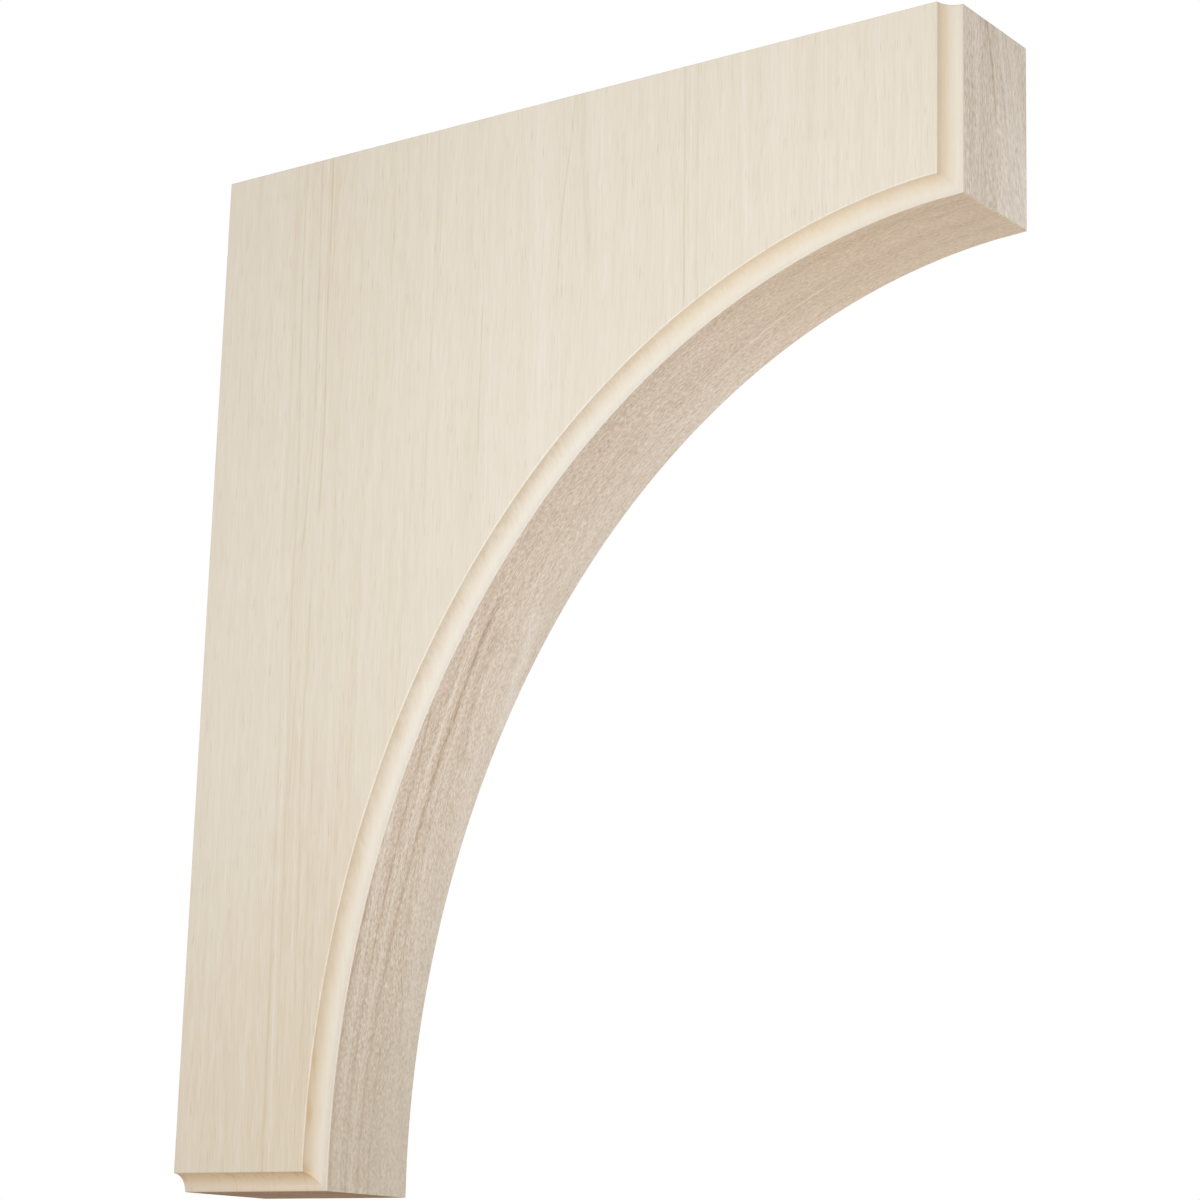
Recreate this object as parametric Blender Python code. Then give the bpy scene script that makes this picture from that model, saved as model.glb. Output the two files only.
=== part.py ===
"""A wooden corbel bracket, made to be fixed to a wall under a beam, shelf or eave.

Metres, +Z up. The origin is the middle of the flat back that goes against the wall. +X points out
from the wall, and the two broad faces look along -Y and +Y.

Seen from the side, the bracket is a block with an elliptical arc sawn out of its lower front corner.
What the arc leaves below is the foot, and what it leaves in front is the nose. A cove runs along the
front edges of both broad faces: down the nose, along the arc and under the foot. The back and the
top are sawn flat, and the cove runs out through them.
"""

import math

import bmesh
import bpy
from mathutils import Vector

# The block
HEIGHT = 0.6096
PROJECTION = 0.508
THICKNESS = 0.0889

# What the arc leaves of the block: the foot's depth along the wall side, the nose's height in front
FOOT_DEPTH = 0.107
NOSE_HEIGHT = 0.105

# The arc's centre lies this far in front of the nose, and this far above the foot's underside
ARC_CENTRE_OUT = 0.0115
ARC_CENTRE_UP = 0.013

# The cove is a quarter circle with its centre on the arris that it takes off
COVE_RADIUS = 0.010

# The raw block is this much larger at the back and the top, before those two are sawn flat
SAW_WASTE = 0.030

# Flat facets that stand for the curves
ARC_FACETS = 64
COVE_FACETS = 8

# Edges that turn by more than this are sharp
SHARP_ANGLE = math.radians(30)

# Pale unfinished wood
WOOD_COLOUR = (0.80, 0.70, 0.56, 1.0)
WOOD_ROUGHNESS = 0.6

BACK = 0.0
TOP = HEIGHT / 2
BOTTOM = -HEIGHT / 2


def clear_scene():
    """Remove every object that is already there."""
    for old in list(bpy.data.objects):
        bpy.data.objects.remove(old, do_unlink=True)


def make_wood():
    """Pale wood, planed and sanded, with no finish on it."""
    wood = bpy.data.materials.new("pale_wood")
    wood.use_nodes = True
    shader = wood.node_tree.nodes["Principled BSDF"]
    shader.inputs["Base Color"].default_value = WOOD_COLOUR
    shader.inputs["Roughness"].default_value = WOOD_ROUGHNESS
    shader.inputs["Metallic"].default_value = 0.0
    return wood


def arc_points():
    """Points (x, z) of the arc, from the foot's front corner to the nose's lower corner."""
    foot_corner = (FOOT_DEPTH, BOTTOM)
    nose_corner = (PROJECTION, TOP - NOSE_HEIGHT)
    centre_x = PROJECTION + ARC_CENTRE_OUT
    centre_z = BOTTOM + ARC_CENTRE_UP

    # The ellipse's half width and half height are the ones that take it through both corners
    foot_x2, foot_z2 = (foot_corner[0] - centre_x) ** 2, (foot_corner[1] - centre_z) ** 2
    nose_x2, nose_z2 = (nose_corner[0] - centre_x) ** 2, (nose_corner[1] - centre_z) ** 2
    mix = foot_x2 * nose_z2 - nose_x2 * foot_z2
    half_width = math.sqrt(mix / (nose_z2 - foot_z2))
    half_height = math.sqrt(mix / (foot_x2 - nose_x2))

    def turn(corner):
        return math.atan2((corner[1] - centre_z) / half_height, (centre_x - corner[0]) / half_width)

    first, last = turn(foot_corner), turn(nose_corner)
    points = []
    for step in range(ARC_FACETS + 1):
        angle = first + (last - first) * step / ARC_FACETS
        x = centre_x - half_width * math.cos(angle)
        z = centre_z + half_height * math.sin(angle)
        points.append((x, z))
    return points


def raw_block(bm, half_depth):
    """The bracket's outline with waste left on at the back and top, from -half_depth to +half_depth."""
    outline = [(BACK - SAW_WASTE, BOTTOM)]
    outline += arc_points()
    outline += [(PROJECTION, TOP + SAW_WASTE), (BACK - SAW_WASTE, TOP + SAW_WASTE)]
    corners = [bm.verts.new((x, -half_depth, z)) for x, z in outline]
    near_face = bm.faces.new(corners)
    pulled = bmesh.ops.extrude_face_region(bm, geom=[near_face])["geom"]
    far_corners = [item for item in pulled if isinstance(item, bmesh.types.BMVert)]
    bmesh.ops.translate(bm, verts=far_corners, vec=(0, 2 * half_depth, 0))
    bmesh.ops.recalc_face_normals(bm, faces=bm.faces)


def raise_coved_faces(bm):
    """Raise both broad faces by the cove's radius, drawing their outline in along the cove's curve."""
    broad = [face for face in bm.faces if abs(face.normal.y) > 0.5]
    quarter = math.pi / 2
    for step in range(COVE_FACETS):
        here, there = quarter * step / COVE_FACETS, quarter * (step + 1) / COVE_FACETS
        inward = COVE_RADIUS * (math.sin(there) - math.sin(here))
        outward = COVE_RADIUS * (math.cos(here) - math.cos(there))
        bmesh.ops.inset_individual(
            bm, faces=broad, thickness=inward, depth=outward, use_even_offset=True
        )


def saw_flat(bm, place, normal):
    """Saw off what lies past a plane, and close the cut."""
    everything = bm.verts[:] + bm.edges[:] + bm.faces[:]
    cut = bmesh.ops.bisect_plane(
        bm, geom=everything, dist=1e-6, plane_co=place, plane_no=normal, clear_outer=True
    )
    rim = [item for item in cut["geom_cut"] if isinstance(item, bmesh.types.BMEdge)]
    bmesh.ops.edgeloop_fill(bm, edges=rim)


def make_bracket():
    """The whole bracket as one solid."""
    bm = bmesh.new()
    raw_block(bm, THICKNESS / 2 - COVE_RADIUS)
    raise_coved_faces(bm)
    saw_flat(bm, Vector((BACK, 0, 0)), Vector((-1, 0, 0)))
    saw_flat(bm, Vector((0, 0, TOP)), Vector((0, 0, 1)))
    bmesh.ops.recalc_face_normals(bm, faces=bm.faces)
    mesh = bpy.data.meshes.new("corbel_bracket")
    bm.to_mesh(mesh)
    bm.free()
    mesh.shade_smooth()
    mesh.set_sharp_from_angle(angle=SHARP_ANGLE)
    mesh.materials.append(make_wood())
    bracket = bpy.data.objects.new("corbel_bracket", mesh)
    bpy.context.scene.collection.objects.link(bracket)
    return bracket


clear_scene()
make_bracket()
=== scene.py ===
"""The looks of a wooden corbel bracket: one solid block of pale, unfinished rubberwood.

Metres, +Z up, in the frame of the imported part: the origin is the middle of the flat back, +X points
out from the wall, and the broad faces look along -Y and +Y. The grain of the block runs up and down,
so the broad faces show long fine lines, the foot and the top show end grain, and the curved
underside passes from long grain at the foot to short grain at the nose.
"""

import math
from collections import namedtuple

import bmesh
import bpy
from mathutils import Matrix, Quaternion, Vector


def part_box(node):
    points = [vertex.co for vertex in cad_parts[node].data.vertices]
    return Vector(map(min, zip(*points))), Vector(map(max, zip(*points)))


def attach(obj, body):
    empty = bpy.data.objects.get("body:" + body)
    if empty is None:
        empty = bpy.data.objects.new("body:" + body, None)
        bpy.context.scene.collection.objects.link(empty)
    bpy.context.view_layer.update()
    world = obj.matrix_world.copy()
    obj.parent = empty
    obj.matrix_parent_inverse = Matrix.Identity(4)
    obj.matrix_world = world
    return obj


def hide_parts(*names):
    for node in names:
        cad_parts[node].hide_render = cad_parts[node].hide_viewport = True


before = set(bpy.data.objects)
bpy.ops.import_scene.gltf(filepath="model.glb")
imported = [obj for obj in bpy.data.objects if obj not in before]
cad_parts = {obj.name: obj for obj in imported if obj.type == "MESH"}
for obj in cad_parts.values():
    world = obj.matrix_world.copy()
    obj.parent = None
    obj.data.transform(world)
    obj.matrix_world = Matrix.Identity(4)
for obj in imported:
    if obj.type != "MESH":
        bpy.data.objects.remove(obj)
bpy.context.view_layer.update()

# The block, read from the frame
LOW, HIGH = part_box("corbel_bracket")
BACK, PROJECTION = LOW.x, HIGH.x
BOTTOM, TOP = LOW.z, HIGH.z
THICKNESS = HIGH.y - LOW.y

# What the arc leaves of the block: the foot's depth out from the wall, and the nose's height
FOOT_DEPTH = 0.107
NOSE_HEIGHT = 0.105

# The arc's centre lies this far in front of the nose, and this far above the foot's underside
ARC_CENTRE_OUT = 0.0115
ARC_CENTRE_UP = 0.013

# The cove is a quarter circle with its centre on the arris that it takes off
COVE_RADIUS = 0.010

# The raw block is this much larger at the back and the top, before those two are sawn flat
SAW_WASTE = 0.030

# Steps that stand for the curves, the run at both ends of the arc that is left straight so that the
# cove can turn its corner there, and the easing that sandpaper leaves on every arris
ARC_STEPS = 192
MITRE_RUN = 0.014
COVE_STEPS = 16
ARRIS = 0.0006
ARRIS_STEPS = 2
SHARP_ANGLE = math.radians(20)

# A face lies in a plane, or looks along an axis, when it is this near to doing so
FLAT_WITHIN = 1e-5
SQUARE_ON = 0.999

# The surfaces of the block, in the order of its materials
BROAD_FACE, COVE, UNDERSIDE, NOSE_FRONT, END_GRAIN, BACK_FACE = range(6)

# The vertex attribute that runs across the cove, from 0 at its outer edge to 1 at the broad face
COVE_SHARE = "cove_share"

# A streak in the wood that the eye can follow. Its path is a list of (height, place across the
# grain). Its tone is above 0 where it is darker than the wood round it, and below 0 where paler. It
# fades over this height at both ends, or over this share of its own height where that is less.
Streak = namedtuple("Streak", "path half_width tone")
STREAK_FADE = 0.03
STREAK_FADE_SHARE = 0.15

# Streaks of the broad faces, placed across the grain by their distance from the wall
FACE_STREAKS = (
    Streak(((-0.345, 0.0677), (-0.232, 0.0666), (-0.16, 0.0655), (-0.088, 0.0643), (-0.02, 0.0632)),
           0.0013, 0.21),
    Streak(((-0.345, 0.073), (-0.27, 0.0717), (-0.2, 0.0696), (-0.12, 0.0681), (-0.04, 0.0674),
            (0.0, 0.065)), 0.0018, -0.17),
    Streak(((-0.26, 0.0744), (-0.198, 0.0735), (-0.137, 0.0723), (-0.1, 0.0713), (-0.05, 0.0707),
            (-0.013, 0.0695), (0.03, 0.0677), (0.087, 0.068), (0.13, 0.0668), (0.187, 0.0645),
            (0.262, 0.0625), (0.345, 0.0605)), 0.0013, 0.17),
    Streak(((-0.09, 0.0733), (-0.05, 0.0736), (-0.02, 0.074)), 0.0012, 0.14),
    Streak(((-0.23, 0.0862), (-0.198, 0.0855), (-0.137, 0.084), (-0.088, 0.082), (-0.038, 0.081),
            (0.012, 0.0823), (0.05, 0.082)), 0.0012, 0.15),
    Streak(((0.05, 0.0735), (0.087, 0.0752), (0.137, 0.0779), (0.162, 0.0779), (0.237, 0.076),
            (0.345, 0.0735)), 0.0013, 0.26),
    Streak(((0.07, 0.0846), (0.13, 0.086), (0.187, 0.0846), (0.24, 0.0838), (0.345, 0.0822)),
           0.0012, 0.32),
    Streak(((0.07, 0.0822), (0.15, 0.0816), (0.22, 0.0805), (0.345, 0.0783)), 0.0016, -0.19),
    Streak(((0.07, 0.0705), (0.14, 0.070), (0.19, 0.0687), (0.24, 0.0658), (0.31, 0.064)),
           0.0018, -0.11),
    Streak(((-0.22, 0.0845), (-0.162, 0.0815), (-0.113, 0.0795), (-0.05, 0.0783), (-0.02, 0.0765)),
           0.0018, -0.11),
    Streak(((0.02, 0.0562), (0.1, 0.0555), (0.16, 0.055), (0.23, 0.0525)), 0.0018, -0.09),
    Streak(((0.04, 0.059), (0.15, 0.0585), (0.345, 0.0548)), 0.0016, 0.08),
    Streak(((-0.29, 0.095), (-0.12, 0.0905), (-0.02, 0.0895)), 0.0014, 0.14),
    Streak(((0.05, 0.1635), (0.15, 0.1645), (0.24, 0.1655), (0.345, 0.1625)), 0.0010, 0.13),
    Streak(((-0.03, 0.1505), (0.05, 0.151), (0.11, 0.1475)), 0.0012, 0.12),
    Streak(((0.07, 0.202), (0.15, 0.2015), (0.20, 0.2015)), 0.0011, 0.23),
    Streak(((0.22, 0.199), (0.345, 0.2025)), 0.0014, 0.06),
    Streak(((0.19, 0.278), (0.24, 0.272), (0.345, 0.2675)), 0.0045, 0.14),
    Streak(((0.16, 0.2545), (0.23, 0.2557), (0.29, 0.262), (0.345, 0.2645)), 0.0011, 0.20),
    Streak(((0.13, 0.3415), (0.21, 0.340), (0.345, 0.338)), 0.0012, 0.25),
    Streak(((0.13, 0.350), (0.21, 0.3485), (0.345, 0.3465)), 0.0016, 0.16),
    Streak(((0.13, 0.345), (0.21, 0.344), (0.345, 0.3427)), 0.0012, -0.14),
    Streak(((0.18, 0.472), (0.345, 0.472)), 0.0014, 0.08),
    Streak(((0.18, 0.437), (0.345, 0.437)), 0.0015, 0.05),
    Streak(((0.18, 0.427), (0.345, 0.427)), 0.0015, -0.14),
    Streak(((0.18, 0.381), (0.24, 0.379), (0.345, 0.376)), 0.0030, -0.20),
    Streak(((0.05, 0.240), (0.15, 0.241), (0.345, 0.2361)), 0.0110, -0.14),
    Streak(((-0.12, 0.121), (0.00, 0.1225), (0.11, 0.1235)), 0.0025, -0.09),
)

# Streaks of the curved underside, placed across the grain by y. They run straight up the foot, lean
# over half way up the arc and run out at the edge.
UNDERSIDE_STREAKS = (
    Streak(((-0.345, -0.0189), (-0.21, -0.0189), (-0.17, -0.0187), (-0.125, -0.0199),
            (-0.097, -0.0224), (-0.07, -0.025), (-0.039, -0.0318), (-0.02, -0.037)), 0.0017, 0.37),
    Streak(((-0.345, -0.0102), (-0.288, -0.0086), (-0.233, -0.0068), (-0.178, -0.0053),
            (-0.125, -0.0053), (-0.083, -0.0074), (-0.039, -0.0111), (-0.008, -0.0155),
            (0.022, -0.0212), (0.035, -0.024)), 0.0026, 0.39),
    Streak(((-0.345, -0.0163), (-0.258, -0.013), (-0.208, -0.0118), (-0.159, -0.0118),
            (-0.111, -0.013), (-0.083, -0.0155), (-0.039, -0.018), (-0.013, -0.023),
            (0.013, -0.0293), (0.03, -0.034)), 0.0020, -0.33),
    Streak(((-0.345, -0.0251), (-0.258, -0.0249), (-0.198, -0.0255), (-0.154, -0.0274),
            (-0.111, -0.0305), (-0.08, -0.034)), 0.0026, -0.32),
    Streak(((-0.345, -0.0325), (-0.22, -0.0325), (-0.12, -0.0335)), 0.0030, 0.40),
    Streak(((-0.1, -0.001), (-0.068, -0.0024), (-0.039, -0.0055), (-0.008, -0.0111),
            (0.027, -0.0162)), 0.0016, -0.24),
    Streak(((-0.125, 0.003), (-0.068, 0.0008), (-0.048, -0.0011), (-0.017, -0.0042),
            (0.013, -0.008)), 0.0016, 0.08),
    Streak(((-0.08, 0.031), (-0.061, 0.0258), (-0.034, 0.017), (-0.013, 0.0083), (0.009, -0.0017)),
           0.0012, 0.09),
    Streak(((-0.05, 0.036), (-0.022, 0.0283), (0.013, 0.0183), (0.029, 0.0083)), 0.0075, -0.36),
    Streak(((-0.06, 0.014), (-0.053, 0.012), (-0.026, 0.0033), (0.0, -0.001)), 0.0038, -0.27),
    Streak(((-0.29, 0.031), (-0.257, 0.0258), (-0.213, 0.017), (-0.154, 0.0058), (-0.11, -0.001)),
           0.0030, 0.18),
    Streak(((-0.268, 0.033), (-0.183, 0.0208), (-0.135, 0.0108), (-0.088, 0.0007)), 0.0028, -0.25),
    Streak(((-0.345, 0.0001), (-0.27, 0.001), (-0.21, 0.002)), 0.0016, 0.38),
    Streak(((-0.07, 0.012), (-0.04, 0.004), (-0.01, -0.006), (0.02, -0.016)), 0.0150, 0.14),
    Streak(((0.02, -0.0315), (0.1, -0.0312), (0.15, -0.0312), (0.21, -0.0315)), 0.0060, -0.05),
    Streak(((0.02, -0.007), (0.05, -0.008), (0.085, -0.0085)), 0.0024, 0.02),
    Streak(((0.06, 0.0083), (0.1, 0.0083), (0.14, 0.007)), 0.0022, -0.08),
    Streak(((0.14, 0.0089), (0.165, 0.006), (0.186, 0.0033)), 0.0016, -0.45),
    Streak(((0.17, 0.026), (0.185, 0.0228), (0.1965, 0.0181), (0.2, 0.015)), 0.0010, 0.24),
)

# Streaks of the nose's front, placed across the grain by y
NOSE_STREAKS = (
    Streak(((0.245, 0.0008), (0.257, 0.0), (0.2726, -0.0022), (0.284, -0.0043), (0.2926, -0.0065),
            (0.345, -0.0151)), 0.0020, 0.33),
    Streak(((0.235, 0.016), (0.243, 0.0145), (0.254, 0.0118), (0.27, 0.0085), (0.283, 0.0065),
            (0.345, -0.0035)), 0.0016, 0.11),
    Streak(((0.205, 0.0215), (0.2355, 0.0166), (0.251, 0.0135), (0.2626, 0.013), (0.2726, 0.0109),
            (0.29, 0.007), (0.345, -0.0012)), 0.0028, -0.46),
    Streak(((0.18, -0.012), (0.27, -0.013), (0.345, -0.013)), 0.0080, 0.12),
)

# A slit's edge is this wide, as a share of the range of the noise that it is cut from
SLIT_EDGE = 0.15

# Colours that several of the sawn surfaces have: their dark and pale streaks, and their open pores
DARK_STREAK, PALE_STREAK, OPEN_PORE = "A08462", "FAF4EA", "8F7355"

# Settings of nodes: a range that eases at both ends, and a Math node that multiplies or subtracts,
# because one without a setting adds
EASED = {"interpolation_type": "SMOOTHSTEP"}
PRODUCT = {"operation": "MULTIPLY"}
DIFFERENCE = {"operation": "SUBTRACT"}

# The sockets of a Mix node that mixes colours, by number, because several have the same name
MIX_SHARE, MIX_FROM, MIX_TO, MIX_RESULT = 0, 6, 7, 2

# The studio: its floor lies well below the bracket, which hangs above head height, and its lights are
# turned towards the bracket's middle
FLOOR_DROP = 2.6
FLOOR_SIZE = 14.0
WALL_LIGHT = 0.38
MIDDLE = (LOW + HIGH) / 2

# The camera stands a little below the foot, in front and to the nose's side, and looks up
CAMERA_LENS_MM = 93.78
CAMERA_AIM = Vector((0.25908, -0.00212, 0.01961))
CAMERA_DISTANCE = 1.73952
CAMERA_AZIMUTH = math.radians(36.310)
CAMERA_RISE = math.radians(-13.529)
CAMERA_ROLL = math.radians(1.612)


def linear(hex_colour):
    """A colour written as sRGB hex, such as "E3D8C6", as linear red, green, blue and alpha."""
    values = [int(hex_colour[place : place + 2], 16) / 255 for place in (0, 2, 4)]
    curved = [((v + 0.055) / 1.055) ** 2.4 if v > 0.04045 else v / 12.92 for v in values]
    return (*curved, 1.0)


# The shape


def arc_points():
    """Points (x, z) of the arc, from the foot's front corner to the nose's lower corner."""
    foot_corner = (FOOT_DEPTH, BOTTOM)
    nose_corner = (PROJECTION, TOP - NOSE_HEIGHT)
    centre_x = PROJECTION + ARC_CENTRE_OUT
    centre_z = BOTTOM + ARC_CENTRE_UP

    # The ellipse's half width and half height are the ones that take it through both corners
    foot_x2, foot_z2 = (foot_corner[0] - centre_x) ** 2, (foot_corner[1] - centre_z) ** 2
    nose_x2, nose_z2 = (nose_corner[0] - centre_x) ** 2, (nose_corner[1] - centre_z) ** 2
    mix = foot_x2 * nose_z2 - nose_x2 * foot_z2
    half_width = math.sqrt(mix / (nose_z2 - foot_z2))
    half_height = math.sqrt(mix / (foot_x2 - nose_x2))

    def turn(corner):
        return math.atan2((corner[1] - centre_z) / half_height, (centre_x - corner[0]) / half_width)

    first, last = turn(foot_corner), turn(nose_corner)
    points = []
    for step in range(ARC_STEPS + 1):
        angle = first + (last - first) * step / ARC_STEPS
        x = centre_x - half_width * math.cos(angle)
        z = centre_z + half_height * math.sin(angle)
        if min(math.dist((x, z), foot_corner), math.dist((x, z), nose_corner)) > MITRE_RUN:
            points.append((x, z))
    return [foot_corner, *points, nose_corner]


def raw_block(bm, half_depth):
    """The bracket's outline with waste left on at the back and top, from -half_depth to +half_depth."""
    outline = [(BACK - SAW_WASTE, BOTTOM)]
    outline += arc_points()
    outline += [(PROJECTION, TOP + SAW_WASTE), (BACK - SAW_WASTE, TOP + SAW_WASTE)]
    corners = [bm.verts.new((x, -half_depth, z)) for x, z in outline]
    near_face = bm.faces.new(corners)
    pulled = bmesh.ops.extrude_face_region(bm, geom=[near_face])["geom"]
    far_corners = [item for item in pulled if isinstance(item, bmesh.types.BMVert)]
    bmesh.ops.translate(bm, verts=far_corners, vec=(0, 2 * half_depth, 0))
    bmesh.ops.recalc_face_normals(bm, faces=bm.faces)


def raise_coved_faces(bm):
    """Raise both broad faces by the cove's radius, drawing their outline in along the cove's curve."""
    share = bm.verts.layers.float.new(COVE_SHARE)
    broad = [face for face in bm.faces if abs(face.normal.y) > SQUARE_ON]
    quarter = math.pi / 2
    for step in range(COVE_STEPS):
        here, there = quarter * step / COVE_STEPS, quarter * (step + 1) / COVE_STEPS
        inward = COVE_RADIUS * (math.sin(there) - math.sin(here))
        outward = COVE_RADIUS * (math.cos(here) - math.cos(there))
        ring = bmesh.ops.inset_individual(
            bm, faces=broad, thickness=inward, depth=outward, use_even_offset=True
        )
        for face in ring["faces"]:
            face.material_index = COVE
        for face in broad:
            for corner in face.verts:
                corner[share] = (step + 1) / COVE_STEPS


def saw_flat(bm, place, normal):
    """Saw off what lies past a plane, and close the cut."""
    everything = bm.verts[:] + bm.edges[:] + bm.faces[:]
    cut = bmesh.ops.bisect_plane(
        bm, geom=everything, dist=FLAT_WITHIN, plane_co=place, plane_no=normal, clear_outer=True
    )
    rim = [item for item in cut["geom_cut"] if isinstance(item, bmesh.types.BMEdge)]
    bmesh.ops.edgeloop_fill(bm, edges=rim)


def name_surfaces(bm):
    """Give every face the surface that it belongs to. The faces of the cove have theirs already."""
    for face in bm.faces:
        middle = face.calc_center_median()

        # The flattest steps of the cove look the same way as the broad faces, but are small
        if abs(face.normal.y) > SQUARE_ON:
            face.material_index = BROAD_FACE if face.calc_area() > COVE_RADIUS**2 else COVE
        elif middle.x < BACK + FLAT_WITHIN:
            face.material_index = BACK_FACE
        elif middle.z > TOP - FLAT_WITHIN:
            face.material_index = END_GRAIN
        elif face.material_index == COVE:
            continue
        elif middle.z < BOTTOM + FLAT_WITHIN:
            face.material_index = END_GRAIN
        elif middle.x > PROJECTION - FLAT_WITHIN:
            face.material_index = NOSE_FRONT
        else:
            face.material_index = UNDERSIDE


def ease_arrises(bm):
    """Round over the arrises between one surface and the next, as a light sanding does."""
    arrises = []
    for edge in bm.edges:
        sides = edge.link_faces
        if len(sides) == 2 and sides[0].material_index != sides[1].material_index:
            arrises.append(edge)
    eased = bmesh.ops.bevel(
        bm,
        geom=arrises,
        offset=ARRIS,
        offset_type="OFFSET",
        segments=ARRIS_STEPS,
        profile=0.5,
        affect="EDGES",
        material=-1,
        clamp_overlap=True,
    )

    # Sanding leaves an arris as pale as the paler of its two sides, whose number is the lower one. The
    # two sides are found across the long edges, because an arris's ends touch other surfaces too.
    paler = {}
    for face in eased["faces"]:
        longest = max(edge.calc_length() for edge in face.edges)
        edges = [edge for edge in face.edges if edge.calc_length() > 0.5 * longest]
        paler[face] = min(side.material_index for edge in edges for side in edge.link_faces)
    for face, surface in paler.items():
        face.material_index = surface


def make_bracket(materials):
    """The whole bracket as one closed mesh, with a material for each of its surfaces."""
    bm = bmesh.new()
    raw_block(bm, THICKNESS / 2 - COVE_RADIUS)
    raise_coved_faces(bm)
    saw_flat(bm, Vector((BACK, 0, 0)), Vector((-1, 0, 0)))
    saw_flat(bm, Vector((0, 0, TOP)), Vector((0, 0, 1)))
    bmesh.ops.recalc_face_normals(bm, faces=bm.faces)
    name_surfaces(bm)
    ease_arrises(bm)
    bmesh.ops.recalc_face_normals(bm, faces=bm.faces)
    mesh = bpy.data.meshes.new("wooden_bracket")
    bm.to_mesh(mesh)
    bm.free()
    mesh.shade_smooth()
    mesh.set_sharp_from_angle(angle=SHARP_ANGLE)
    for material in materials:
        mesh.materials.append(material)
    bracket = bpy.data.objects.new("wooden_bracket", mesh)
    bpy.context.scene.collection.objects.link(bracket)
    return bracket


# The wood's patterns


def add(tree, kind, inputs, out=0, **settings):
    """Add a node with its settings, give each input its value or link, and return one output."""
    node = tree.nodes.new("ShaderNode" + kind)
    for name, value in settings.items():
        setattr(node, name, value)
    for socket, value in inputs.items() if isinstance(inputs, dict) else enumerate(inputs):
        if isinstance(value, bpy.types.NodeSocket):
            tree.links.new(value, node.inputs[socket])
        else:
            node.inputs[socket].default_value = value
    return node.outputs[out]


def begin(name):
    """A new material: its nodes, its shader, and the place in the block as a vector."""
    material = bpy.data.materials.new(name)
    material.use_nodes = True
    tree = material.node_tree
    return material, tree, tree.nodes["Principled BSDF"], add(tree, "TexCoord", (), out="Object")


def layered(tree, *layers):
    """The sum of several layers of tone."""
    tone = layers[0]
    for layer in layers[1:]:
        tone = add(tree, "Math", (tone, layer))
    return tone


def grown(tree, place, sizes, detail, shift):
    """Noise from 0 to 1 with these sizes in metres: across, through and along the grain."""
    scales = [1 / size for size in sizes]
    drawn_out = add(tree, "Mapping", {"Vector": place, "Location": shift, "Scale": scales})
    return add(tree, "TexNoise", {"Vector": drawn_out, "Scale": 1.0, "Detail": detail})


def fibres(tree, place, across, through, along, strength, detail=2.0, shift=(0, 0, 0)):
    """Tone from -strength to strength in threads along the grain, whose sizes are in metres."""
    noise = grown(tree, place, (across, through, along), detail, shift)
    return add(tree, "MapRange", (noise, 0.0, 1.0, -strength, strength))


def slits(tree, place, across, through, along, rarity, strength, shift=(0, 0, 0)):
    """Separate slits along the grain, 0 between them and strength inside them: the wood's open pores."""
    noise = grown(tree, place, (across, through, along), 0.0, shift)
    return add(tree, "MapRange", (noise, rarity, rarity + SLIT_EDGE, 0.0, strength), **EASED)


def streak(tree, across, z, line):
    """The tone of one streak, softened at its sides and faded at its two ends."""
    first, last = line.path[0][0], line.path[-1][0]
    height = add(tree, "MapRange", (z, first, last))
    course = add(tree, "FloatCurve", {"Value": height})
    mapping = course.node.mapping
    mapping.use_clip = False
    points = mapping.curves[0].points
    spots = [((up - first) / (last - first), place) for up, place in line.path]
    points[0].location = spots[0]
    points[1].location = spots[-1]
    for spot in spots[1:-1]:
        points.new(*spot)
    mapping.update()
    gap = add(tree, "Math", (across, course), **DIFFERENCE)
    gap = add(tree, "Math", (gap,), operation="ABSOLUTE")
    tone = add(tree, "MapRange", (gap, 0.0, line.half_width, line.tone, 0.0), **EASED)
    fade = min(STREAK_FADE / (last - first), STREAK_FADE_SHARE)
    rise = add(tree, "MapRange", (height, 0.0, fade), **EASED)
    fall = add(tree, "MapRange", (height, 1.0 - fade, 1.0, 1.0, 0.0), **EASED)
    faded = add(tree, "Math", (rise, fall), **PRODUCT)
    return add(tree, "Math", (tone, faded), **PRODUCT)


def shaded(tree, tone, *hex_colours):
    """The colours spread evenly over tones from 0 to 1."""
    shade = add(tree, "ValToRGB", (tone,))
    ramp = shade.node.color_ramp
    ramp.elements[0].color = linear(hex_colours[0])
    ramp.elements[1].color = linear(hex_colours[-1])
    for number, hex_colour in enumerate(hex_colours[1:-1], start=1):
        ramp.elements.new(number / (len(hex_colours) - 1)).color = linear(hex_colour)
    return shade


def stained(tree, colour, hex_colour, *shares):
    """The colour, taken towards another by the product of these shares."""
    share = shares[0]
    for other in shares[1:]:
        share = add(tree, "Math", (share, other), **PRODUCT)
    sockets = {MIX_SHARE: share, MIX_FROM: colour, MIX_TO: linear(hex_colour)}
    return add(tree, "Mix", sockets, out=MIX_RESULT, data_type="RGBA")


def streaked(tree, colour, across, z, lines, breaks, dark, pale):
    """The colour with its streaks, which are broken up into fibres by the tone of the breaks, and taken
    towards dark where a streak is darker and towards pale where it is paler."""
    marks = layered(tree, *(streak(tree, across, z, line) for line in lines))
    marks = add(tree, "Math", (marks, layered(tree, breaks, 1.0)), **PRODUCT)
    colour = stained(tree, colour, dark, marks)
    return stained(tree, colour, pale, marks, -1.0)


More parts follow.
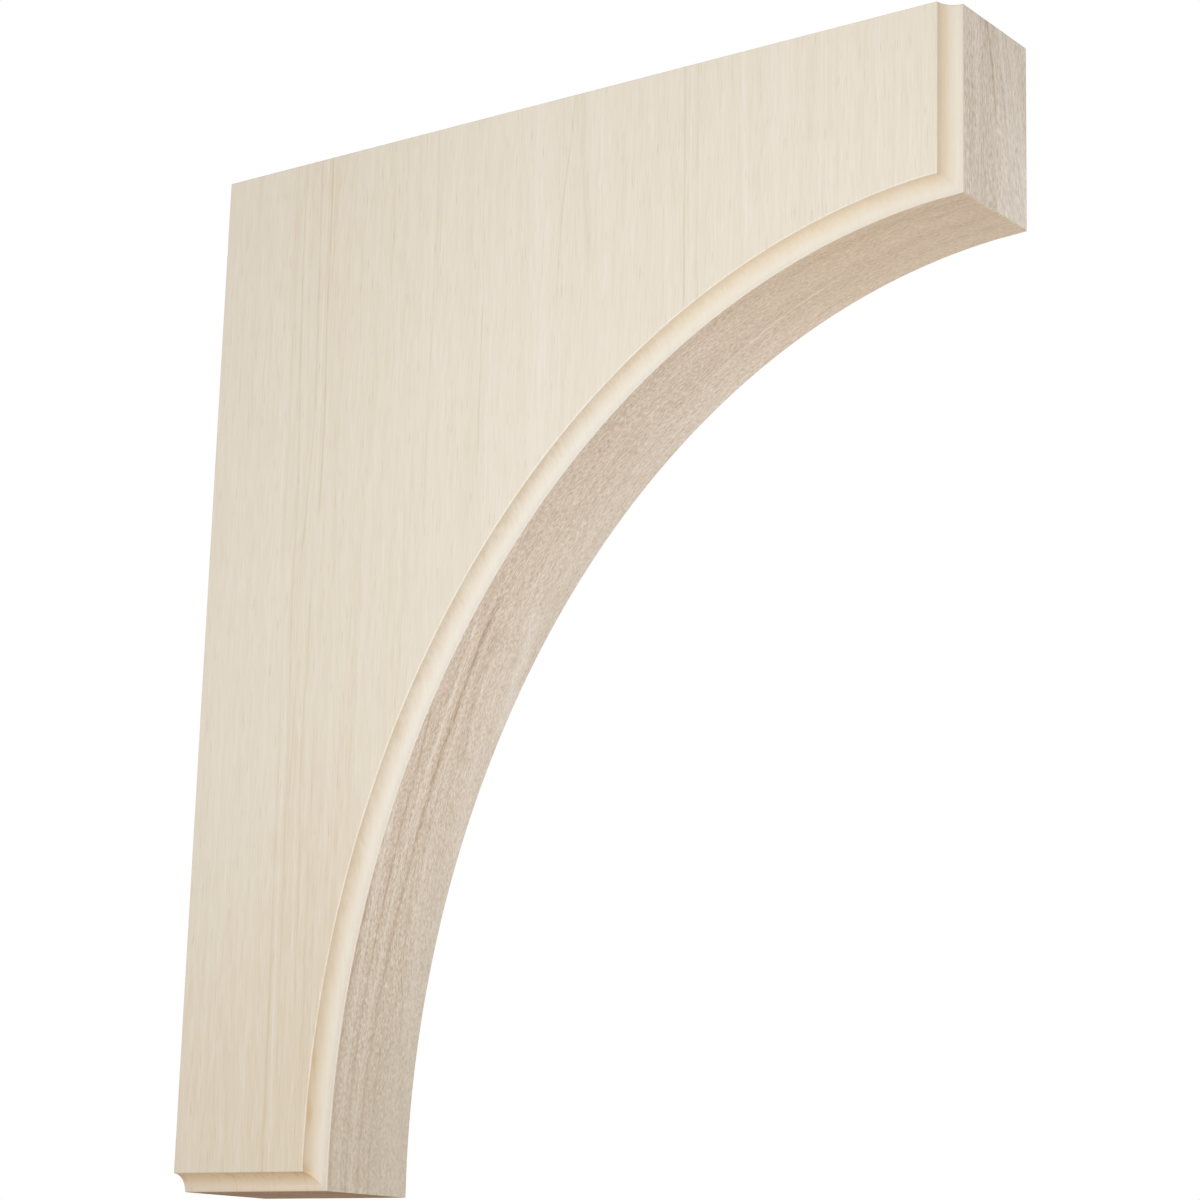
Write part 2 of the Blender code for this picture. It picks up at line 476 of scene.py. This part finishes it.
def finish(tree, shader, colour, height, strength, depth, roughness, specular):
    """Join the colour and the fine relief to the shader, and set the wood's dull shine."""
    relief = add(tree, "Bump", {"Strength": strength, "Distance": depth, "Height": height})
    tree.links.new(colour, shader.inputs["Base Color"])
    tree.links.new(relief, shader.inputs["Normal"])
    shader.inputs["Roughness"].default_value = roughness
    shader.inputs["Specular IOR Level"].default_value = specular


# The wood, one material for each kind of surface


def planed_wood():
    """Rubberwood planed and sanded with the grain: pale and even, with fine upright threads of grain,
    soft bands, a few honey-coloured streaks and scattered open pores."""
    wood, tree, shader, place = begin("planed_rubberwood")
    x, y, z = (add(tree, "SeparateXYZ", (place,), out=axis) for axis in "XYZ")

    # The growth lines stand aslant in the block, so they lie 31 mm nearer the wall on the far face,
    # and they waver by about 2 mm up the grain
    aslant = add(tree, "MapRange", (y, LOW.y, HIGH.y, 0.0, 0.031))
    waver = fibres(tree, place, across=0.20, through=0.20, along=0.12, strength=0.002, detail=1.0)
    streak_x = layered(tree, x, aslant)
    line_x = layered(tree, streak_x, waver)
    grain = add(tree, "CombineXYZ", (line_x, y, z))

    # The wood is paler away from the wall and warmer in a band near the wall. It is darker and warmer at
    # the foot, partly the wood's own honey tone and partly painted shade.
    outward = add(tree, "MapRange", (x, BACK, PROJECTION, -0.10, -0.12))
    footward = add(tree, "MapRange", (z, BOTTOM, 0.02, 0.21, 0.0), **EASED)
    headward = add(tree, "MapRange", (z, 0.10, TOP, 0.0, 0.03), **EASED)
    from_band = add(tree, "Math", (layered(tree, line_x, -0.105),), operation="ABSOLUTE")
    wall_band = add(tree, "MapRange", (from_band, 0.035, 0.065, 0.07, 0.0), **EASED)
    bands = fibres(tree, grain, across=0.028, through=0.08, along=0.60, strength=0.095)
    lines = fibres(tree, grain, across=0.0042, through=0.02, along=0.20, strength=0.11)
    threads = fibres(tree, grain, across=0.0025, through=0.006, along=0.040, strength=0.12)
    hairs = fibres(tree, grain, across=0.0010, through=0.004, along=0.020, strength=0.24)
    tone = layered(tree, outward, footward, headward, wall_band, bands, lines, threads, hairs, 0.5)
    colour = shaded(tree, tone, "EEE8DE", "E3D8C6", "D3BE9C")
    breaks = fibres(tree, grain, across=0.0012, through=0.006, along=0.030, strength=1.2)
    colour = streaked(tree, colour, streak_x, z, FACE_STREAKS, breaks, "BFAF88", "F6F3EF")

    # Pores are 0.3 mm wide and 3 to 6 mm long, drawn about twice as large so that they show
    pores = slits(tree, grain, across=0.0007, through=0.002, along=0.014, rarity=0.68, strength=0.16)
    colour = stained(tree, colour, "9C8B75", pores)
    height = add(tree, "Math", (layered(tree, hairs, threads), pores), **DIFFERENCE)
    finish(tree, shader, colour, height, strength=0.25, depth=0.0002, roughness=0.62, specular=0.3)
    return wood


def moulded_wood():
    """Rubberwood cut by a moulding cutter across its grain: whitish and smooth on the outer half of the
    cove, tan and streaked on the inner half, which painted shade also darkens, brown where the cutter
    crossed the end grain under the foot, and scorched here and there along the foot."""
    wood, tree, shader, place = begin("moulded_rubberwood")
    x, z = (add(tree, "SeparateXYZ", (place,), out=axis) for axis in "XZ")
    share = add(tree, "Attribute", (), out="Fac", attribute_name=COVE_SHARE)
    patches = fibres(tree, place, across=0.009, through=0.02, along=0.045, strength=0.20, shift=(5, 0, 1))
    lines = fibres(tree, place, across=0.0018, through=0.006, along=0.060, strength=0.28)
    threads = fibres(tree, place, across=0.0010, through=0.003, along=0.014, strength=0.18)
    inner = add(tree, "MapRange", (share, 0.30, 0.75, 0.35, 1.0), **EASED)
    figure = add(tree, "Math", (layered(tree, patches, lines), inner), **PRODUCT)
    # The cove darkens towards the broad face: partly the tan of the cut wood, partly painted shade in the
    # cove's hollow
    depth = add(tree, "MapRange", (share, 0.15, 0.80, 0.05, 0.60), **EASED)
    colour = shaded(tree, layered(tree, depth, figure, threads), "DDD7CC", "D5C9B7", "C8B08D")

    # It is browner towards the foot and yellower at the nose, where the cutter meets more end grain
    footward = add(tree, "MapRange", (z, BOTTOM + 0.02, -0.03, 0.70, 0.0), **EASED)
    noseward = add(tree, "MapRange", (z, 0.10, TOP - NOSE_HEIGHT, 0.0, 0.50), **EASED)
    colour = stained(tree, colour, "CBB99F", footward, inner)
    colour = stained(tree, colour, "E6D2B4", noseward, inner)

    # The level cove under the foot is browner still. The stain ends within 1 mm of the cove's inner
    # edge, and fades out round the corner.
    inner_edge = BOTTOM + COVE_RADIUS
    under_foot = add(tree, "MapRange", (z, inner_edge + 0.001, inner_edge - 0.001))
    on_foot = add(tree, "MapRange", (x, FOOT_DEPTH, FOOT_DEPTH - COVE_RADIUS))
    browned = add(tree, "MapRange", (share, 0.25, 0.80, 0.34, 0.84))
    colour = stained(tree, colour, "E1C298", browned, under_foot, on_foot)

    # The cutter scorched the foot's inner edge here and there. The near side's corner, where the foot's
    # cove meets the arc's at the broad face, is darkened with painted shade.
    low = add(tree, "MapRange", (z, -0.17, BOTTOM + 0.02), **EASED)
    at_edge = add(tree, "MapRange", (share, 0.6, 1.0, 0.0, 0.06))
    marks = layered(tree, patches, lines, at_edge)
    marks = add(tree, "MapRange", (marks, 0.025, 0.12, 0.0, 0.50), **EASED)
    colour = stained(tree, colour, "C39B67", marks, low, inner)
    turning = (FOOT_DEPTH - COVE_RADIUS, LOW.y, inner_edge)
    apart = add(tree, "VectorMath", (place, turning), out="Value", operation="DISTANCE")
    corner = add(tree, "MapRange", (apart, 0.002, 0.009, 0.40, 0.0), **EASED)
    colour = stained(tree, colour, "B9905E", corner)
    finish(tree, shader, colour, threads, strength=0.2, depth=0.0002, roughness=0.58, specular=0.3)
    return wood


def underside_wood():
    """Rubberwood band-sawn along the arc and sanded: greyer than the planed faces, and covered in short
    dark and pale flecks where the saw cut the pores open. Its growth lines run straight up the foot,
    lean over towards the near side half way up, and follow the arc to the nose."""
    wood, tree, shader, place = begin("sawn_rubberwood")
    x, y, z = (add(tree, "SeparateXYZ", (place,), out=axis) for axis in "XYZ")
    lean = add(tree, "MapRange", (y, LOW.y, HIGH.y, 0.018, 0.060))
    risen = add(tree, "MapRange", (z, -0.22, 0.05), **EASED)
    leaning = add(tree, "Math", (lean, risen), **PRODUCT)
    waver = fibres(tree, place, across=0.3, through=0.3, along=0.07, strength=0.003, detail=1.0)
    grain = add(tree, "CombineXYZ", (x, layered(tree, y, leaning, waver), z))

    # The long lines are strongest on the foot's near side, and the nose end has almost none
    near = add(tree, "MapRange", (y, LOW.y, HIGH.y, 1.0, 0.0))
    low = add(tree, "MapRange", (z, -0.10, 0.06, 1.0, 0.35), **EASED)
    near_half = add(tree, "MapRange", (near, 0.2, 0.6, 0.5, 1.0), **EASED)
    lined = add(tree, "Math", (low, near_half), **PRODUCT)
    bands = fibres(tree, grain, across=0.25, through=0.014, along=0.40, strength=0.18, detail=1.0)
    lines = fibres(tree, grain, across=0.12, through=0.0036, along=0.20, strength=0.12, detail=0.5)
    lines = add(tree, "Math", (lines, lined), **PRODUCT)
    threads = fibres(tree, grain, across=0.012, through=0.0024, along=0.012, strength=0.24)
    flecks = fibres(tree, grain, across=0.0024, through=0.0012, along=0.0024, strength=0.82)
    open_grain = add(tree, "MapRange", (z, -0.25, -0.08, 1.15, 0.80), **EASED)
    flecked = add(tree, "Math", (flecks, open_grain), **PRODUCT)
    nearness = add(tree, "MapRange", (near, 0.0, 1.0, 0.38, 0.57))
    tone = layered(tree, nearness, bands, lines, threads, flecked)
    colour = shaded(tree, tone, "FCEDDF", "DDCBB8", "B59E84")
    breaks = fibres(tree, grain, across=0.004, through=0.0013, along=0.005, strength=2.2, shift=(0, 3, 0))
    colour = streaked(tree, colour, y, z, UNDERSIDE_STREAKS, breaks, DARK_STREAK, PALE_STREAK)

    # It is paler along the far edge, greyer at the foot and browner at the nose end
    farward = add(tree, "MapRange", (y, 0.0, 0.035, 0.0, 0.34))
    not_nose = add(tree, "MapRange", (z, 0.05, 0.16, 1.0, 0.0), **EASED)
    colour = stained(tree, colour, "DDD6C8", farward, not_nose)
    footward = add(tree, "MapRange", (z, BOTTOM, -0.04, 0.6, 0.0), **EASED)
    noseward = add(tree, "MapRange", (z, 0.13, TOP - NOSE_HEIGHT, 0.0, 0.40), **EASED)
    colour = stained(tree, colour, "C9BCA8", footward)
    colour = stained(tree, colour, "DBBF9D", noseward)

    # Open pores: slits 0.3 mm wide and 1 to 3 mm long, drawn about twice as wide so that they show
    pores = slits(tree, grain, across=0.003, through=0.0010, along=0.003, rarity=0.65, strength=0.11)
    colour = stained(tree, colour, OPEN_PORE, pores)
    height = add(tree, "Math", (flecks, 0.6), **PRODUCT)
    height = add(tree, "Math", (height, pores), **DIFFERENCE)
    finish(tree, shader, colour, height, strength=0.35, depth=0.0003, roughness=0.72, specular=0.25)
    return wood


def nose_front_wood():
    """Rubberwood sawn along the grain and sanded: the nose's front is plain and a little grey, with
    fine threads, one brown streak and a pale flame beside it where the grain turns."""
    wood, tree, shader, place = begin("sanded_rubberwood")
    x, y, z = (add(tree, "SeparateXYZ", (place,), out=axis) for axis in "XYZ")

    # The growth lines stand upright on the near half and lean over on the far half
    lean = add(tree, "MapRange", (y, -0.015, 0.020, 0.03, 0.24), **EASED)
    from_middle = layered(tree, z, NOSE_HEIGHT / 2 - TOP)
    leaning = add(tree, "Math", (lean, from_middle), **PRODUCT)
    grain = add(tree, "CombineXYZ", (x, layered(tree, y, leaning), z))
    bands = fibres(tree, grain, across=0.25, through=0.016, along=0.12, strength=0.29)
    lines = fibres(tree, grain, across=0.12, through=0.0034, along=0.08, strength=0.14, shift=(0, 2, 0))
    threads = fibres(tree, grain, across=0.03, through=0.0024, along=0.014, strength=0.27)
    flecks = fibres(tree, grain, across=0.004, through=0.0011, along=0.004, strength=0.66)
    nearness = add(tree, "MapRange", (y, LOW.y, HIGH.y, 0.50, 0.31))
    headward = add(tree, "MapRange", (z, TOP - NOSE_HEIGHT, TOP, -0.06, 0.05))
    tone = layered(tree, nearness, headward, bands, lines, threads, flecks)
    colour = shaded(tree, tone, "FDF3E6", "E2D4C3", "BAA891")
    breaks = fibres(tree, grain, across=0.03, through=0.0012, along=0.008, strength=2.0, shift=(0, 3, 0))
    colour = streaked(tree, colour, y, z, NOSE_STREAKS, breaks, DARK_STREAK, PALE_STREAK)
    pores = slits(tree, grain, across=0.004, through=0.0009, along=0.005, rarity=0.66, strength=0.15)
    colour = stained(tree, colour, OPEN_PORE, pores)
    height = add(tree, "Math", (flecks, 0.6), **PRODUCT)
    height = add(tree, "Math", (height, pores), **DIFFERENCE)
    finish(tree, shader, colour, height, strength=0.3, depth=0.0003, roughness=0.70, specular=0.25)
    return wood


def end_grain_wood():
    """Rubberwood sawn across the grain: darker than the other surfaces, because the open pores swallow
    the light, and darkest on the foot's underside, partly with painted shade; with growth rings in
    shallow arcs, pinhole pores and faint scratches from the saw."""
    wood, tree, shader, place = begin("end_grain_rubberwood")

    # The log's heart lies outside the block, so the rings cross it as shallow arcs
    centred = add(tree, "Mapping", {"Vector": place, "Location": (-0.20, 0.32, 0.0), "Scale": (1, 1, 0)})
    radius = add(tree, "VectorMath", (centred,), out="Value", operation="LENGTH")
    waver = fibres(tree, place, across=0.05, through=0.05, along=1.0, strength=0.004, detail=1.0)
    ring_place = add(tree, "CombineXYZ", (layered(tree, radius, waver),))
    rings = fibres(tree, ring_place, across=0.0045, through=1.0, along=1.0, strength=0.6, detail=3.0)
    clouds = fibres(tree, place, across=0.03, through=0.03, along=1.0, strength=0.35)
    scratches = fibres(tree, place, across=0.0016, through=0.05, along=1.0, strength=0.35, shift=(1, 6, 0))
    grit = fibres(tree, place, across=0.0012, through=0.0012, along=1.0, strength=0.5)
    tone = layered(tree, rings, clouds, scratches, grit, 0.5)
    colour = shaded(tree, tone, "C1A387", "A8886D", "8A6B50")

    # Pores cut square across are 0.2 mm wide, drawn about twice as wide so that they show
    pores = slits(tree, place, across=0.0009, through=0.0009, along=1.0, rarity=0.64, strength=0.5)
    colour = stained(tree, colour, "5A4330", pores)

    # The foot's underside stays dark like the cove beside it, partly with painted shade, and the top is
    # made paler
    z = add(tree, "SeparateXYZ", (place,), out="Z")
    upward = add(tree, "MapRange", (z, BOTTOM + 0.02, TOP - 0.02, 0.0, 0.60))
    colour = stained(tree, colour, "DDCBB0", upward)
    height = add(tree, "Math", (scratches, 0.5), **PRODUCT)
    height = add(tree, "Math", (height, pores), **DIFFERENCE)
    finish(tree, shader, colour, height, strength=0.4, depth=0.0003, roughness=0.8, specular=0.2)
    return wood


def sawn_back_wood():
    """Rubberwood as the rip saw left it, against the wall: straight upright grain, crossed by faint
    level saw marks, with a slightly fuzzy, dusty surface."""
    wood, tree, shader, place = begin("rough_sawn_rubberwood")
    bands = fibres(tree, place, across=0.25, through=0.016, along=0.70, strength=0.30)
    lines = fibres(tree, place, across=0.10, through=0.0038, along=0.20, strength=0.32, shift=(0, 3, 0))
    threads = fibres(tree, place, across=0.03, through=0.0014, along=0.030, strength=0.34)
    marks = fibres(tree, place, across=0.3, through=0.20, along=0.0050, strength=0.13, shift=(0, 0, 5))
    colour = shaded(tree, layered(tree, bands, lines, threads, marks, 0.5), "E6DCCC", "DACBB5", "B9A384")
    pores = slits(tree, place, across=0.004, through=0.0009, along=0.006, rarity=0.64, strength=0.30)
    colour = stained(tree, colour, OPEN_PORE, pores)
    height = layered(tree, threads, add(tree, "Math", (marks, 1.5), **PRODUCT))
    height = add(tree, "Math", (height, pores), **DIFFERENCE)
    finish(tree, shader, colour, height, strength=0.45, depth=0.0003, roughness=0.8, specular=0.2)
    return wood


# The studio


def floor_paint():
    """Matt white floor paint, rolled on: almost even, with a broad faint mottle."""
    paint, tree, shader, place = begin("matt_white_floor_paint")
    mottle = fibres(tree, place, across=0.4, through=0.4, along=0.4, strength=0.5)
    colour = shaded(tree, layered(tree, mottle, 0.5), "F1F0EE", "F5F4F2")
    tree.links.new(colour, shader.inputs["Base Color"])
    shader.inputs["Roughness"].default_value = 0.9
    return paint


def make_floor():
    """A plain pale floor, well below the bracket."""
    bm = bmesh.new()
    bmesh.ops.create_grid(bm, x_segments=1, y_segments=1, size=FLOOR_SIZE / 2)
    bmesh.ops.translate(bm, verts=bm.verts, vec=(0, 0, -FLOOR_DROP))
    mesh = bpy.data.meshes.new("studio_floor")
    bm.to_mesh(mesh)
    bm.free()
    mesh.materials.append(floor_paint())
    floor = bpy.data.objects.new("studio_floor", mesh)
    bpy.context.scene.collection.objects.link(floor)
    return floor


def light_softly():
    """White studio walls all round, which the camera sees as pure white."""
    world = bpy.data.worlds.new("white_studio")
    bpy.context.scene.world = world
    world.use_nodes = True
    tree = world.node_tree
    tree.nodes.clear()
    backdrop = add(tree, "Background", {"Color": (1, 1, 1, 1), "Strength": 1.0})
    walls = add(tree, "Background", {"Color": (1, 1, 1, 1), "Strength": WALL_LIGHT})
    to_camera = add(tree, "LightPath", (), out="Is Camera Ray")
    seen = add(tree, "MixShader", (to_camera, walls, backdrop))
    surface = tree.nodes.new("ShaderNodeOutputWorld").inputs["Surface"]
    tree.links.new(seen, surface)


def add_softbox(name, direction, distance, size, power):
    """A square soft light at this distance from the middle of the bracket, turned towards it."""
    light = bpy.data.lights.new(name, "AREA")
    light.shape = "SQUARE"
    light.size = size
    light.energy = power
    softbox = bpy.data.objects.new(name, light)
    away = Vector(direction).normalized()
    softbox.location = MIDDLE + away * distance
    softbox.rotation_mode = "QUATERNION"
    softbox.rotation_quaternion = (-away).to_track_quat("-Z", "Y")
    softbox.visible_camera = False
    bpy.context.scene.collection.objects.link(softbox)


def place_camera():
    """The camera at the photograph's viewing angle."""
    lens = bpy.data.cameras.new("camera")
    lens.lens = CAMERA_LENS_MM
    lens.sensor_width = 36.0
    lens.clip_start = 0.05
    camera = bpy.data.objects.new("camera", lens)
    level = math.cos(CAMERA_RISE)
    back = Vector(
        (math.sin(CAMERA_AZIMUTH) * level, -math.cos(CAMERA_AZIMUTH) * level, math.sin(CAMERA_RISE))
    )
    camera.location = CAMERA_AIM + back * CAMERA_DISTANCE
    camera.rotation_mode = "QUATERNION"
    camera.rotation_quaternion = (-back).to_track_quat("-Z", "Y") @ Quaternion((0, 0, 1), CAMERA_ROLL)
    bpy.context.scene.collection.objects.link(camera)
    bpy.context.scene.camera = camera


surfaces = [
    planed_wood(),
    moulded_wood(),
    underside_wood(),
    nose_front_wood(),
    end_grain_wood(),
    sawn_back_wood(),
]
bracket = make_bracket(surfaces)
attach(bracket, "root")
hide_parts("corbel_bracket")

make_floor()
light_softly()
add_softbox("front_softbox", direction=(0.12, -1.0, 0.04), distance=1.15, size=0.8, power=7.6)
add_softbox("side_softbox", direction=(0.95, -0.25, -0.15), distance=2.6, size=1.6, power=20.0)
add_softbox("low_softbox", direction=(0.5, -0.35, -0.8), distance=2.0, size=1.4, power=9.0)
add_softbox("high_back_softbox", direction=(-0.45, 0.62, 0.64), distance=3.5, size=2.4, power=60.0)
place_camera()
bpy.context.scene.view_settings.view_transform = "Standard"
